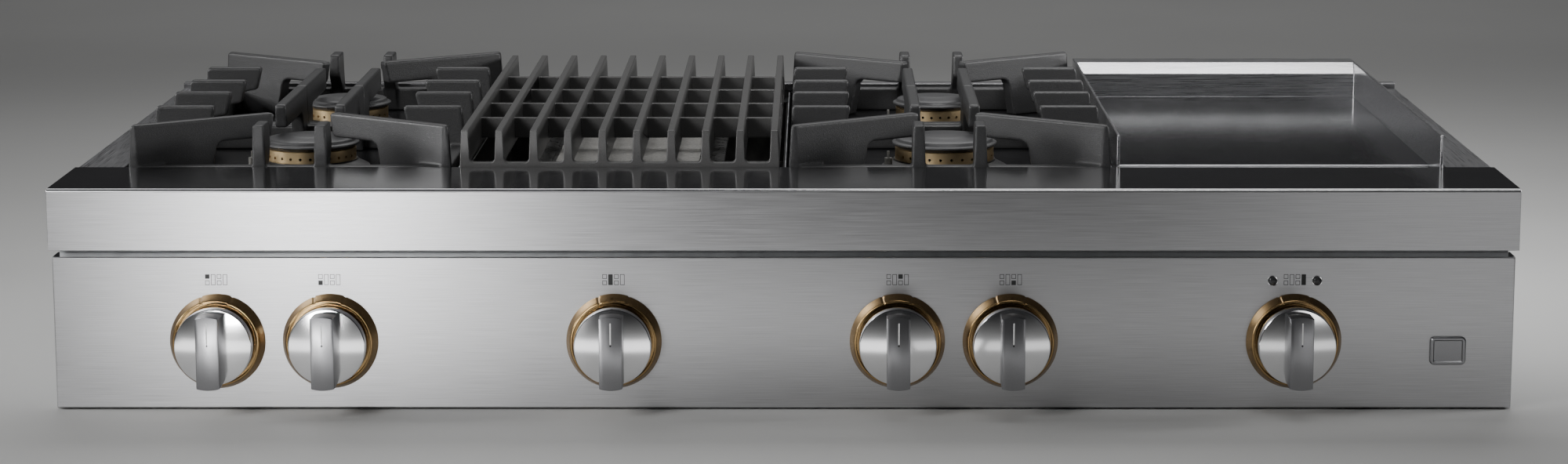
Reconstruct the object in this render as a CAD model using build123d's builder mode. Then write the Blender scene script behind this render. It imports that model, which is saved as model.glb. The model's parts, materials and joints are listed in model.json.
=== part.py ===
from build123d import *
import os
from math import cos, hypot, radians, sin

os.makedirs("parts", exist_ok=True)

# A 48-inch gas rangetop: two burner modules, a grill and a griddle behind one front rail.
# X runs left to right, Y front to back and Z up. The origin is the centre of the chassis
# footprint, on the underside of the base plate. Lengths are in millimetres.

# Driving dimensions
WIDTH = 1216.0
DEPTH = 674.0
LEDGE_TOP = 188.0
MODULE_PITCH = 283.0
GRATE_TOP = 223.5
KNOB_Z = 58.0
CLEAR = 0.3
FIT = 0.1

HALF = WIDTH / 2
FRONT = -DEPTH / 2
REAR = DEPTH / 2
MODULE_X = [MODULE_PITCH * (index - 1.5) for index in range(4)]
LEFT_BURNERS, GRILL, RIGHT_BURNERS, GRIDDLE = MODULE_X
MODULE_FRONT = -215.0

# Sheet metal
SHEET = 1.5
TRIM_SHEET = 2.0
SIDE_TRIM_TOP = 185.5
REAR_TRIM_TOP = 191.0
REAR_TRIM_DEPTH = 11.0
SIDE_TRIM_WIDTH = 39.0
CHASSIS_HALF = HALF - TRIM_SHEET
CHASSIS_REAR = REAR - TRIM_SHEET
CHASSIS_TOP = SIDE_TRIM_TOP - TRIM_SHEET

# Front rail and control panel
RAIL_BOTTOM = 136.5
RAIL_RETURN = 25.0
RAIL_EDGE = 3.0
PANEL_Y = FRONT + 12.0
PANEL_TOP = 129.0
PANEL_BOTTOM = 1.0
PANEL_HALF = HALF - 0.6
PANEL_RETURN = 25.0
PANEL_HEM = 6.0
PANEL_EDGE = 1.2
BULKHEAD_Y = PANEL_Y + PANEL_RETURN

# Knobs, one pair for each burner module and one each for the grill and the griddle
KNOB_PAIR = 47.0
KNOB_X = [
    LEFT_BURNERS - KNOB_PAIR,
    LEFT_BURNERS + KNOB_PAIR,
    GRILL,
    RIGHT_BURNERS - KNOB_PAIR,
    RIGHT_BURNERS + KNOB_PAIR,
    GRIDDLE,
]
BEZEL_R = 39.7
BEZEL_LIP_R = 35.6
BEZEL_BORE_R = 34.2
BEZEL_DEPTH = 11.0
BEZEL_CLEAR_HOLE_R = 12.0
DIAL_R = 32.0
DIAL_FACE = PANEL_Y - 28.0
DIAL_THICK = 6.0
DIAL_BACK = PANEL_Y - 4.5
DIAL_SKIRT = 2.0
HUB_R = 9.0
HANDLE_WIDTH = 19.0
HANDLE_REACH = 30.7
HANDLE_FRONT = DIAL_FACE - 27.5
HANDLE_FLARE = 1.4
HANDLE_CHAMFER = 0.6
PUSH_TRAVEL = 3.0
PUSH_SPARE = 0.5
BORE_INSET = 2.0

# Valve train
STEM_R = 4.0
FLAT = 3.0
RUNNING = 0.08
VALVE_FRONT = BULKHEAD_Y + 9.0
VALVE_LENGTH = 50.0
VALVE_WIDTH = 30.0
VALVE_HEIGHT = 34.0
VALVE_NOSE_R = 10.0
VALVE_NOSE = 6.0
STEM_HOLE_R = 6.0
BORE_END = 1.0
SPIGOT_R = 5.0
SPIGOT_LENGTH = 6.0
STEM_REACH = 30.0
PIPE_R = 12.0
PIPE_OFFSET = 2.0
PIPE_Y = VALVE_FRONT + VALVE_LENGTH + PIPE_R + PIPE_OFFSET
PIPE_END = 545.0
PIPE_BEND = 18.0
PIPE_DROP = 60.0
PIPE_RUN = 40.0

# Burners
BURNER_Y = [-79.25, 188.25]
PAN_FLOOR = 166.0
PAN_SHEET = 1.2
RING_BOTTOM = 175.5
RING_TOP = 186.0
RING_WALL = 4.0
PORT_Z = 179.3
PORT_R = 1.15
PORTS = 28
CAP_RADII = {"left_front": 43.0, "left_rear": 40.5, "right_front": 47.0, "right_rear": 40.5}
BURNER_AT = {
    "left_front": (LEFT_BURNERS, BURNER_Y[0]),
    "left_rear": (LEFT_BURNERS, BURNER_Y[1]),
    "right_front": (RIGHT_BURNERS, BURNER_Y[0]),
    "right_rear": (RIGHT_BURNERS, BURNER_Y[1]),
}
CAP_RISE = 11.0

# Burner grates
GRATE_SEAM = 54.5
GRATE_FRONT = MODULE_FRONT + 2.0
GRATE_LENGTH = GRATE_SEAM - CLEAR - GRATE_FRONT
GRATE_BASE = PAN_FLOOR + CLEAR
GRATE_BASE_HALF = 139.5
GRATE_TOP_HALF = 136.0
GRATE_RAIL_TOP = LEDGE_TOP
GRATE_RAIL_WIDTH = 14.0
BLADE_TOP = 9.5
BLADE_BASE = 13.0
FINGER = 21.0
BLADE_PAIR_X = 26.5

# Grill
BARS = 10
BAR_PITCH = 29.5
BAR_TOP = 219.5
BAR_BOTTOM = 191.5
BAR_TOP_WIDTH = 6.0
BAR_BASE_WIDTH = 8.6
GRILL_FRAME_BOTTOM = 176.0
RIB_TOP = 214.0
RIB_DEPTH = 18.0
RIB_WIDTH = 5.0
RIB_Y = [-92.0, 4.0, 100.0, 196.0]
GRILL_FLOOR = 110.0
GRILL_BURNER_HALF = 67.0
GRILL_BURNER_Y = (-185.0, 145.0)
GRILL_BURNER_TOP = 175.0

# Griddle
GUARD_HALF = 139.75
GUARD_SHEET = 2.4
GUARD_TOP = 215.0
GUARD_BOTTOM = 168.0
GRIDDLE_SURFACE = 181.5
GRIDDLE_THICK = 10.0
GRIDDLE_FRONT = -160.0
GRIDDLE_BACK = 294.0
GRIDDLE_STEP = 204.2
GRIDDLE_LEAN = 302.0
GRIDDLE_SHELF = 333.0


def save(piece, name):
    """Label a finished piece and write it as its own file."""
    piece.part.label = name
    export_step(piece.part, f"parts/{name}.step")


def slab(x, y, z, mode=Mode.ADD):
    """A block between pairs of X, Y and Z limits, in the part being built."""
    centre = tuple((low + high) / 2 for low, high in (x, y, z))
    with Locations(centre):
        Box(x[1] - x[0], y[1] - y[0], z[1] - z[0], mode=mode)


def facing_front(y):
    """A vertical plane at y whose drawings read X across and Z up, seen from the front."""
    return Plane.XZ.offset(-y)


def rounds(radius, places, y_from, y_to, mode=Mode.ADD):
    """Cylinders along Y between two depths, centred on (X, Z) places."""
    with BuildSketch(facing_front(y_to)) as discs:
        with Locations(*places):
            Circle(radius)
    extrude(discs.sketch, amount=y_to - y_from, mode=mode)


# Chassis

VENT_COLUMNS = 14
VENT_PITCH = 70.0
VENT_LENGTH = 40.0
VENT_WIDTH = 6.0
VENT_Z = 120.0
BASE_VENT_SPREAD = 240.0
MOUNT_SPREAD_X = 1120.0
MOUNT_SPREAD_Y = 540.0
MOUNT_HOLE_R = 3.5
BULKHEAD_TOP = 158.0
rail_rear = MODULE_FRONT - 1.0

with BuildPart() as base_plate:
    slab((-CHASSIS_HALF, CHASSIS_HALF), (BULKHEAD_Y, CHASSIS_REAR), (0, SHEET))
    with BuildSketch(Plane.XY):
        with GridLocations(VENT_PITCH, BASE_VENT_SPREAD, VENT_COLUMNS, 2):
            SlotOverall(VENT_LENGTH, VENT_WIDTH, rotation=90)
        with GridLocations(MOUNT_SPREAD_X, MOUNT_SPREAD_Y, 2, 2):
            Circle(MOUNT_HOLE_R)
    extrude(amount=SHEET, mode=Mode.SUBTRACT)
save(base_plate, "base_plate")

for side, name in ((-1, "side_panel_left"), (1, "side_panel_right")):
    faces = sorted((side * (CHASSIS_HALF - SHEET), side * CHASSIS_HALF))
    with BuildPart() as side_panel:
        slab(faces, (BULKHEAD_Y + SHEET, CHASSIS_REAR - SHEET), (SHEET, BULKHEAD_TOP))
        slab(faces, (rail_rear, CHASSIS_REAR - SHEET), (BULKHEAD_TOP, CHASSIS_TOP))
    save(side_panel, name)

GAS_PORT = (480.0, 42.0)
GAS_HOLE_R = 17.0
CORD_HOLE = (-480.0, 42.0)
CORD_HOLE_R = 11.0

with BuildPart() as rear_panel:
    slab((-CHASSIS_HALF, CHASSIS_HALF), (CHASSIS_REAR - SHEET, CHASSIS_REAR), (SHEET, CHASSIS_TOP))
    with BuildSketch(facing_front(CHASSIS_REAR)):
        with Locations((0, VENT_Z)):
            with GridLocations(VENT_PITCH, VENT_WIDTH * 2, VENT_COLUMNS, 3):
                SlotOverall(VENT_LENGTH, VENT_WIDTH)
    extrude(amount=SHEET, mode=Mode.SUBTRACT)
    rounds(GAS_HOLE_R, [GAS_PORT], CHASSIS_REAR - SHEET, CHASSIS_REAR, Mode.SUBTRACT)
    rounds(CORD_HOLE_R, [CORD_HOLE], CHASSIS_REAR - SHEET, CHASSIS_REAR, Mode.SUBTRACT)
save(rear_panel, "rear_panel")

stem_places = [(x, KNOB_Z) for x in KNOB_X]

with BuildPart() as bulkhead:
    slab((-CHASSIS_HALF, CHASSIS_HALF), (BULKHEAD_Y, BULKHEAD_Y + SHEET), (SHEET, BULKHEAD_TOP))
    rounds(STEM_HOLE_R, stem_places, BULKHEAD_Y, BULKHEAD_Y + SHEET, Mode.SUBTRACT)
save(bulkhead, "bulkhead")

# Outer trim

RAIL_LIP = 16.0

with BuildPart() as front_rail:
    with BuildSketch(Plane.YZ.offset(-HALF)):
        with BuildLine():
            Polyline(
                (FRONT, RAIL_BOTTOM),
                (FRONT, LEDGE_TOP),
                (rail_rear, LEDGE_TOP),
                (rail_rear, LEDGE_TOP - RAIL_LIP),
                (rail_rear - TRIM_SHEET, LEDGE_TOP - RAIL_LIP),
                (rail_rear - TRIM_SHEET, LEDGE_TOP - TRIM_SHEET),
                (FRONT + TRIM_SHEET, LEDGE_TOP - TRIM_SHEET),
                (FRONT + TRIM_SHEET, RAIL_BOTTOM + TRIM_SHEET),
                (FRONT + RAIL_RETURN, RAIL_BOTTOM + TRIM_SHEET),
                (FRONT + RAIL_RETURN, RAIL_BOTTOM),
                close=True,
            )
        make_face()
    extrude(amount=WIDTH)
    for end in (-HALF, HALF - TRIM_SHEET):
        with BuildSketch(Plane.YZ.offset(end)):
            with BuildLine():
                Polyline(
                    (FRONT, RAIL_BOTTOM),
                    (FRONT, LEDGE_TOP),
                    (rail_rear, LEDGE_TOP),
                    (rail_rear, LEDGE_TOP - RAIL_LIP),
                    (FRONT + RAIL_RETURN, LEDGE_TOP - RAIL_LIP),
                    (FRONT + RAIL_RETURN, RAIL_BOTTOM),
                    close=True,
                )
            make_face()
        extrude(amount=TRIM_SHEET)
    rail_front = front_rail.faces().sort_by(Axis.Y)[0]
    fillet(rail_front.edges().sort_by(Axis.Z)[-1], RAIL_EDGE)
save(front_rail, "front_rail")

SIDE_FLANGE = 40.0

for side, name in ((-1, "side_trim_left"), (1, "side_trim_right")):
    outer = side * HALF
    strip = sorted((outer, outer - side * SIDE_TRIM_WIDTH))
    flange = sorted((outer, outer - side * TRIM_SHEET))
    lip = sorted((outer - side * SIDE_TRIM_WIDTH, outer - side * (SIDE_TRIM_WIDTH - TRIM_SHEET)))
    with BuildPart() as side_trim:
        slab(strip, (rail_rear, REAR - REAR_TRIM_DEPTH), (CHASSIS_TOP, SIDE_TRIM_TOP))
        slab(flange, (rail_rear, REAR - REAR_TRIM_DEPTH), (SIDE_TRIM_TOP - SIDE_FLANGE, SIDE_TRIM_TOP))
        slab(lip, (rail_rear, REAR - REAR_TRIM_DEPTH), (PAN_FLOOR, SIDE_TRIM_TOP))
    save(side_trim, name)

REAR_FLANGE = 50.0
REAR_TRIM_EDGE = 1.0

with BuildPart() as rear_trim:
    with BuildSketch(Plane.YZ.offset(-HALF)):
        with BuildLine():
            Polyline(
                (REAR - REAR_TRIM_DEPTH, REAR_TRIM_TOP - REAR_TRIM_EDGE),
                (REAR - REAR_TRIM_DEPTH + REAR_TRIM_EDGE, REAR_TRIM_TOP),
                (REAR, REAR_TRIM_TOP),
                (REAR, REAR_TRIM_TOP - REAR_FLANGE),
                (REAR - TRIM_SHEET, REAR_TRIM_TOP - REAR_FLANGE),
                (REAR - TRIM_SHEET, REAR_TRIM_TOP - TRIM_SHEET),
                (REAR - REAR_TRIM_DEPTH + TRIM_SHEET, REAR_TRIM_TOP - TRIM_SHEET),
                (REAR - REAR_TRIM_DEPTH + TRIM_SHEET, CHASSIS_TOP),
                (REAR - REAR_TRIM_DEPTH, CHASSIS_TOP),
                close=True,
            )
        make_face()
    extrude(amount=WIDTH)
save(rear_trim, "rear_trim")

LENS_R = 4.5
LENS_TAIL_R = 4.0
LENS_SPREAD = 18.5
LENS_X = (GRIDDLE - LENS_SPREAD, GRIDDLE + LENS_SPREAD)
LENS_Z = 109.0
lens_places = [(x, LENS_Z) for x in LENS_X]

with BuildPart() as control_panel:
    slab((-PANEL_HALF, PANEL_HALF), (PANEL_Y, BULKHEAD_Y), (PANEL_BOTTOM, PANEL_TOP))
    panel_rim = control_panel.faces().sort_by(Axis.Y)[0].edges()
    fillet(panel_rim, PANEL_EDGE)
    slab(
        (-PANEL_HALF + SHEET, PANEL_HALF - SHEET),
        (PANEL_Y + SHEET, BULKHEAD_Y),
        (PANEL_BOTTOM + SHEET, PANEL_TOP - SHEET),
        Mode.SUBTRACT,
    )
    slab(
        (-PANEL_HALF + SHEET, PANEL_HALF - SHEET),
        (PANEL_Y + PANEL_HEM, BULKHEAD_Y),
        (PANEL_BOTTOM, PANEL_BOTTOM + SHEET),
        Mode.SUBTRACT,
    )
    rounds(BEZEL_CLEAR_HOLE_R, stem_places, PANEL_Y, PANEL_Y + SHEET, Mode.SUBTRACT)
    rounds(LENS_TAIL_R, lens_places, PANEL_Y, PANEL_Y + SHEET, Mode.SUBTRACT)
save(control_panel, "control_panel")

LENS_DOME = 2.0
LENS_EDGE = 1.8
LENS_TAIL = 8.0

with BuildPart() as indicator_lenses:
    rounds(LENS_TAIL_R - FIT, lens_places, PANEL_Y, PANEL_Y + LENS_TAIL)
    rounds(LENS_R, lens_places, PANEL_Y - LENS_DOME, PANEL_Y)
    fillet(indicator_lenses.faces().group_by(Axis.Y)[0].edges(), LENS_EDGE)
save(indicator_lenses, "indicator_lenses")

# Knobs and valves


def turned(x, outline, mode=Mode.ADD):
    """Turn an outline of (radius, y) points about the knob axis at x."""
    axis_plane = Plane(origin=(x, 0, KNOB_Z), x_dir=(1, 0, 0), z_dir=(0, 0, 1))
    with BuildSketch(axis_plane) as profile:
        with BuildLine():
            Polyline(*outline, close=True)
        make_face()
    revolve(profile.sketch, axis=Axis((x, 0, KNOB_Z), (0, 1, 0)), mode=mode)


BEZEL_BASE = 1.5
BEZEL_FLOOR = 1.0

with BuildPart() as knob_bezels:
    for x in KNOB_X:
        turned(
            x,
            [
                (BEZEL_CLEAR_HOLE_R, PANEL_Y),
                (BEZEL_R, PANEL_Y),
                (BEZEL_R, PANEL_Y - BEZEL_BASE),
                (BEZEL_LIP_R, PANEL_Y - BEZEL_DEPTH),
                (BEZEL_BORE_R, PANEL_Y - BEZEL_DEPTH),
                (BEZEL_BORE_R, PANEL_Y - BEZEL_FLOOR),
                (BEZEL_CLEAR_HOLE_R, PANEL_Y - BEZEL_FLOOR),
            ],
        )
save(knob_bezels, "knob_bezels")

bore_front = DIAL_FACE + BORE_INSET
stem_front = bore_front + PUSH_TRAVEL + PUSH_SPARE
flat_rear = DIAL_BACK + PUSH_TRAVEL + PUSH_SPARE
DIAL_CHAMFER = 1.0
STEM_SHOULDER = 1.0


def d_bore(x, y_from, y_to, radius, flat, mode):
    """A round bar or bore with one flat above the axis, along the knob axis at x."""
    with BuildSketch(facing_front(y_to)) as section:
        with Locations((x, KNOB_Z)):
            Circle(radius)
        with Locations((x, KNOB_Z + flat + radius)):
            Rectangle(radius * 2, radius * 2, mode=Mode.SUBTRACT)
    extrude(section.sketch, amount=y_to - y_from, mode=mode)


for number, x in enumerate(KNOB_X, start=1):
    with BuildPart() as knob_dial:
        turned(
            x,
            [
                (0, DIAL_FACE),
                (DIAL_R - DIAL_CHAMFER, DIAL_FACE),
                (DIAL_R, DIAL_FACE + DIAL_CHAMFER),
                (DIAL_R, DIAL_BACK),
                (DIAL_R - DIAL_SKIRT, DIAL_BACK),
                (DIAL_R - DIAL_SKIRT, DIAL_FACE + DIAL_THICK),
                (HUB_R, DIAL_FACE + DIAL_THICK),
                (HUB_R, DIAL_BACK),
                (0, DIAL_BACK),
            ],
        )
        d_bore(x, bore_front, DIAL_BACK, STEM_R + RUNNING, FLAT + RUNNING, Mode.SUBTRACT)
    save(knob_dial, f"knob_dial_{number}")

    with BuildPart() as knob_handle:
        for y, shrink in ((DIAL_FACE, HANDLE_FLARE), (HANDLE_FRONT, 0)):
            with BuildSketch(facing_front(y)):
                with Locations((x, KNOB_Z)):
                    Rectangle(HANDLE_WIDTH - shrink, 2 * HANDLE_REACH)
                    Circle(HANDLE_REACH - shrink / 2, mode=Mode.INTERSECT)
        loft()
        chamfer(knob_handle.faces().sort_by(Axis.Y)[0].edges(), HANDLE_CHAMFER)
    save(knob_handle, f"knob_handle_{number}")

    with BuildPart() as valve_stem:
        rounds(STEM_R, [(x, KNOB_Z)], stem_front, VALVE_FRONT + STEM_REACH)
        slab(
            (x - STEM_R, x + STEM_R),
            (stem_front, flat_rear),
            (KNOB_Z + FLAT, KNOB_Z + STEM_R + STEM_SHOULDER),
            Mode.SUBTRACT,
        )
    save(valve_stem, f"valve_stem_{number}")

with BuildPart() as valve_bodies:
    for x in KNOB_X:
        slab(
            (x - VALVE_WIDTH / 2, x + VALVE_WIDTH / 2),
            (VALVE_FRONT, VALVE_FRONT + VALVE_LENGTH),
            (KNOB_Z - VALVE_HEIGHT / 2, KNOB_Z + VALVE_HEIGHT / 2),
        )
    rounds(VALVE_NOSE_R, stem_places, VALVE_FRONT - VALVE_NOSE, VALVE_FRONT)
    rounds(SPIGOT_R, stem_places, VALVE_FRONT + VALVE_LENGTH, VALVE_FRONT + VALVE_LENGTH + SPIGOT_LENGTH)
    rounds(
        STEM_R + RUNNING,
        stem_places,
        VALVE_FRONT - VALVE_NOSE,
        VALVE_FRONT + STEM_REACH + BORE_END,
        Mode.SUBTRACT,
    )
save(valve_bodies, "valve_bodies")

INLET_X = GAS_PORT[0]
REGULATOR_GAP = 2.0
REGULATOR_REAR = CHASSIS_REAR - SHEET - REGULATOR_GAP
REGULATOR_LENGTH = 60.0
PORT_STUB_R = 14.5
regulator_front = REGULATOR_REAR - REGULATOR_LENGTH

with BuildPart() as manifold_pipe:
    with BuildLine() as pipe_route:
        FilletPolyline(
            (-PIPE_END, PIPE_Y, KNOB_Z),
            (PIPE_END, PIPE_Y, KNOB_Z),
            (PIPE_END, regulator_front - PIPE_DROP, GAS_PORT[1]),
            (INLET_X, regulator_front - PIPE_RUN, GAS_PORT[1]),
            (INLET_X, regulator_front, GAS_PORT[1]),
            radius=PIPE_BEND,
        )
    with BuildSketch(Plane(origin=(-PIPE_END, PIPE_Y, KNOB_Z), z_dir=(1, 0, 0))):
        Circle(PIPE_R)
    sweep()
    rounds(SPIGOT_R, stem_places, PIPE_Y - PIPE_R, PIPE_Y, Mode.SUBTRACT)
save(manifold_pipe, "manifold_pipe")

PORT_THREAD_R = 10.2
PORT_THREAD_LENGTH = 18.0
REGULATOR_R = 16.0
REGULATOR_DOME_R = 26.0
REGULATOR_TALL = 40.0

with BuildPart() as gas_regulator:
    rounds(REGULATOR_R, [GAS_PORT], regulator_front, REGULATOR_REAR)
    with BuildSketch(Plane.XY.offset(GAS_PORT[1])):
        with Locations((INLET_X, regulator_front + REGULATOR_LENGTH / 2)):
            Circle(REGULATOR_DOME_R)
    extrude(amount=REGULATOR_TALL)
    rounds(PORT_STUB_R, [GAS_PORT], REGULATOR_REAR, REAR)
    rounds(PORT_THREAD_R, [GAS_PORT], REAR - PORT_THREAD_LENGTH, REAR, Mode.SUBTRACT)
save(gas_regulator, "gas_regulator")

GLAND_FLANGE_R = 15.0
GLAND_DEPTH = 12.0
CORD_BORE_R = 4.0
gland_front = CHASSIS_REAR - SHEET - GLAND_DEPTH

with BuildPart() as cord_gland:
    rounds(CORD_HOLE_R - FIT, [CORD_HOLE], gland_front, CHASSIS_REAR)
    rounds(GLAND_FLANGE_R, [CORD_HOLE], CHASSIS_REAR, REAR)
    rounds(CORD_BORE_R, [CORD_HOLE], gland_front, REAR, Mode.SUBTRACT)
save(cord_gland, "cord_gland")

# Burner modules

PAN_HALF = 141.0
PAN_BURNER_HOLE_R = 22.0
DIVIDER_HALF = 0.4
PAN_RIM = 182.0
pan_opening_front = rail_rear + CLEAR
pan_opening_rear = REAR - REAR_TRIM_DEPTH - CLEAR

for x, name in ((LEFT_BURNERS, "cooktop_pan_left"), (RIGHT_BURNERS, "cooktop_pan_right")):
    pan_middle = (pan_opening_front + pan_opening_rear) / 2
    pan_length = pan_opening_rear - pan_opening_front
    with BuildPart() as cooktop_pan:
        with BuildSketch(Plane.XY.offset(PAN_FLOOR - PAN_SHEET)):
            with Locations((x, pan_middle)):
                Rectangle(2 * PAN_HALF, pan_length)
        extrude(amount=PAN_SHEET)
        with BuildSketch(Plane.XY.offset(PAN_FLOOR)):
            with Locations((x, pan_middle)):
                Rectangle(2 * PAN_HALF, pan_length)
                Rectangle(2 * (PAN_HALF - PAN_SHEET), pan_length - 2 * PAN_SHEET, mode=Mode.SUBTRACT)
        extrude(amount=PAN_RIM - PAN_FLOOR)
        with BuildSketch(Plane.XY.offset(PAN_FLOOR - PAN_SHEET)):
            with Locations(*[(x, y) for y in BURNER_Y]):
                Circle(PAN_BURNER_HOLE_R)
        extrude(amount=PAN_SHEET, mode=Mode.SUBTRACT)
    save(cooktop_pan, name)

with BuildPart() as module_dividers:
    for index in (-1, 0, 1):
        slab(
            (index * MODULE_PITCH - DIVIDER_HALF, index * MODULE_PITCH + DIVIDER_HALF),
            (pan_opening_front, pan_opening_rear),
            (PAN_FLOOR - PAN_SHEET, PAN_RIM),
        )
save(module_dividers, "module_dividers")


def turned_upright(centre, outline, mode=Mode.ADD):
    """Turn an outline of (radius, z) points about a vertical axis through centre."""
    with BuildSketch(Plane(origin=(*centre, 0), x_dir=(1, 0, 0), z_dir=(0, -1, 0))) as profile:
        with BuildLine():
            Polyline(*outline, close=True)
        make_face()
    revolve(profile.sketch, axis=Axis((*centre, 0), (0, 0, 1)), mode=mode)


THROAT_R = 12.0
NECK_R = 20.0
NECK_DEPTH = 24.0
FOOT_SPREAD = 9.0
FOOT_THICK = 3.0
SEAT_INSET = 1.5
SEAT_THICK = 1.0

with BuildPart() as burner_bases:
    for name, centre in BURNER_AT.items():
        radius = CAP_RADII[name]
        turned_upright(
            centre,
            [
                (THROAT_R, PAN_FLOOR - NECK_DEPTH),
                (NECK_R, PAN_FLOOR - NECK_DEPTH),
                (NECK_R, PAN_FLOOR),
                (radius + FOOT_SPREAD, PAN_FLOOR),
                (radius + FOOT_SPREAD, PAN_FLOOR + FOOT_THICK),
                (radius - SEAT_INSET, RING_BOTTOM - SEAT_THICK),
                (radius - SEAT_INSET, RING_BOTTOM),
                (THROAT_R, RING_BOTTOM),
            ],
        )
save(burner_bases, "burner_bases")

RING_INSET = 3.0
PORT_MARGIN = 0.5
CAP_SPIGOT = 6.0
CAP_UNDERCUT = 5.0
CAP_LIP = 3.0
CAP_RIM = 2.0
CAP_STEPS = ((5.5, 8.0), (9.0, 9.0), (22.0, 10.4))

for name, centre in BURNER_AT.items():
    radius = CAP_RADII[name]
    ring_radius = radius - RING_INSET
    port_start = ring_radius - RING_WALL - PORT_MARGIN
    with BuildPart() as burner_ring:
        turned_upright(
            centre,
            [
                (ring_radius - RING_WALL, RING_BOTTOM),
                (ring_radius, RING_BOTTOM),
                (ring_radius, RING_TOP),
                (ring_radius - RING_WALL, RING_TOP),
            ],
        )
        for port in range(PORTS):
            angle = radians(port * 360.0 / PORTS)
            outward = (cos(angle), sin(angle), 0)
            start = (
                centre[0] + port_start * outward[0],
                centre[1] + port_start * outward[1],
                PORT_Z,
            )
            with BuildSketch(Plane(origin=start, z_dir=outward)):
                Circle(PORT_R)
            extrude(amount=RING_WALL + 2 * PORT_MARGIN, mode=Mode.SUBTRACT)
    save(burner_ring, f"burner_ring_{name}")

    with BuildPart() as burner_cap:
        turned_upright(
            centre,
            [
                (0, RING_TOP),
                (radius - CAP_SPIGOT, RING_TOP),
                (radius - CAP_UNDERCUT, RING_TOP + CAP_LIP),
                (radius, RING_TOP + CAP_LIP),
                (radius, RING_TOP + CAP_LIP + CAP_RIM),
                *[(radius - inset, RING_TOP + rise) for inset, rise in CAP_STEPS],
                (0, RING_TOP + CAP_RISE),
            ],
        )
    save(burner_cap, f"burner_cap_{name}")

IGNITER_R = 3.5
IGNITER_PIN_R = 1.2
IGNITER_PIN = 6.0
IGNITER_REACH = 15.0
IGNITER_TOP = RING_TOP + 1.0
IGNITER_ANGLE = 215.0

with BuildPart() as igniters:
    for name, centre in BURNER_AT.items():
        reach = CAP_RADII[name] + IGNITER_REACH
        spot = (
            centre[0] + reach * cos(radians(IGNITER_ANGLE)),
            centre[1] + reach * sin(radians(IGNITER_ANGLE)),
        )
        with BuildSketch(Plane.XY.offset(PAN_FLOOR)):
            with Locations(spot):
                Circle(IGNITER_R)
        extrude(amount=IGNITER_TOP - PAN_FLOOR - IGNITER_PIN)
        with BuildSketch(Plane.XY.offset(IGNITER_TOP - IGNITER_PIN)):
            with Locations(spot):
                Circle(IGNITER_PIN_R)
        extrude(amount=IGNITER_PIN)
save(igniters, "igniters")

# Burner grates


def blade(start, end, outline):
    """A cast blade in plan from start to end, with drafted sides, cut to an outline of
    (distance from start, height, corner radius) points."""
    run_x = end[0] - start[0]
    run_y = end[1] - start[1]
    length = hypot(run_x, run_y)
    origin = (*start, 0)
    section = Plane(origin=origin, x_dir=(-run_y, run_x, 0), z_dir=(run_x, run_y, 0))
    side = Plane(origin=origin, x_dir=(run_x, run_y, 0), z_dir=(run_y, -run_x, 0))
    with BuildPart() as cast:
        with BuildSketch(section):
            with BuildLine():
                Polyline(
                    (-BLADE_BASE / 2, GRATE_BASE),
                    (-BLADE_TOP / 2, GRATE_TOP),
                    (BLADE_TOP / 2, GRATE_TOP),
                    (BLADE_BASE / 2, GRATE_BASE),
                    close=True,
                )
            make_face()
        extrude(amount=length)
        with BuildSketch(side) as side_view:
            with BuildLine():
                Polyline(*[(run, height) for run, height, radius in outline], close=True)
            make_face()
            for run, height, radius in outline:
                if radius:
                    fillet(side_view.vertices().sort_by_distance((run, height))[0], radius)
        extrude(amount=BLADE_BASE, both=True, mode=Mode.INTERSECT)
    return cast.part


FINGER_BOTTOM = GRATE_TOP - FINGER
SHORT_BLADE = 35.0
DIAGONAL_TIP_Y = -128.0
MIDDLE_TIP_Y = -81.0
DIAGONAL_WINDOW = 84.0
SIDE_BLADE = 56.0
SIDE_BLADE_Y = (-84.0, 12.0)
SHORT_LEAN = 3.0
SIDE_LEAN = 5.0
SIDE_NECK = 32.0
SIDE_HAUNCH = 4.0
TOE = 14.0
HEEL = 20.0
MIDDLE_TOE = 26.0
MIDDLE_HEEL = 34.0
WINDOW_LEAN = 8.0
TIP_ROUND = 2.5
NECK_ROUND = 8.0
FOOT_ROUND = 5.0
CORNER_OVERRUN = (6.0, 4.0)
SHOULDER_ROUND = 3.0

short_outline = [
    (0, GRATE_BASE, 0),
    (0, GRATE_TOP, 0),
    (SHORT_BLADE - SHORT_LEAN, GRATE_TOP, TIP_ROUND),
    (SHORT_BLADE, FINGER_BOTTOM, TIP_ROUND),
    (HEEL, GRATE_RAIL_TOP, FOOT_ROUND),
    (TOE, GRATE_BASE, 0),
]
side_outline = [
    (0, GRATE_BASE, 0),
    (0, GRATE_TOP, 0),
    (SIDE_BLADE, GRATE_TOP, TIP_ROUND),
    (SIDE_BLADE - SIDE_LEAN, FINGER_BOTTOM, TIP_ROUND),
    (SIDE_NECK, FINGER_BOTTOM - SIDE_HAUNCH, NECK_ROUND),
    (HEEL, GRATE_RAIL_TOP, FOOT_ROUND),
    (TOE, GRATE_BASE, 0),
]
middle_length = GRATE_SEAM - CLEAR - MIDDLE_TIP_Y
middle_outline = [
    (0, GRATE_BASE, 0),
    (0, GRATE_TOP, 0),
    (middle_length, GRATE_TOP, TIP_ROUND),
    (middle_length - SHORT_LEAN, FINGER_BOTTOM, TIP_ROUND),
    (MIDDLE_HEEL, FINGER_BOTTOM, NECK_ROUND),
    (MIDDLE_TOE, GRATE_BASE, 0),
]
diagonal_start = (GRATE_BASE_HALF + CORNER_OVERRUN[0], GRATE_FRONT - CORNER_OVERRUN[1])
diagonal_end = (BLADE_PAIR_X, DIAGONAL_TIP_Y)
diagonal_length = hypot(diagonal_start[0] - diagonal_end[0], diagonal_start[1] - diagonal_end[1])
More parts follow.
